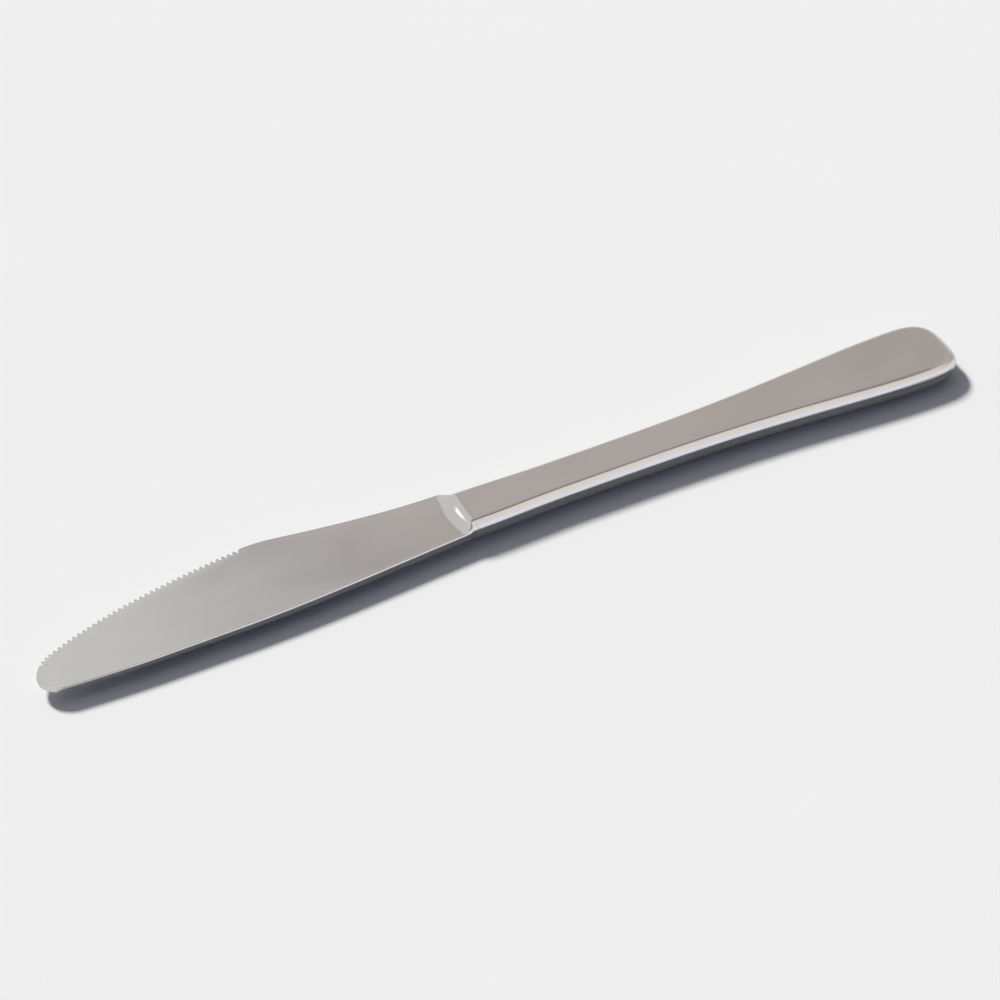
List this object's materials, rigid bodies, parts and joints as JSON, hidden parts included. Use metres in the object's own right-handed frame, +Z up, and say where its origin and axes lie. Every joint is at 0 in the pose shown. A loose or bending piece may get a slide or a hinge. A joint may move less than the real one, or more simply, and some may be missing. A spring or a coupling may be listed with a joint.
{
  "type": "dessert knife",
  "caption": "Steel dessert knife with a broad round-nosed blade, fine serration on its belly, a short bolster ramp and a slim bevelled hollow handle with a rounded butt.",
  "frame": {"origin": "half-way along the knife, on its centre line, on the flat underside that it lies on", "axes": "+X from the tip to the butt, +Y from the spine to the cutting edge, +Z up out of the surface that it lies on"},
  "size_m": [0.207, 0.0212, 0.0052],
  "materials": {
    "blade_steel": "polished stainless steel with faint polishing lines",
    "handle_steel": "polished stainless steel, slightly warm, with fine wear",
    "braze": "brazing metal ground flush and polished",
    "cement": "set cement, matte and grainy"
  },
  "bodies": {
    "root": {"blade": "blade_steel", "upper_shell": "handle_steel", "lower_shell": "handle_steel", "seam_braze": "braze", "mouth_braze": "braze", "tang_cement": "cement"}
  },
  "joints": []
}
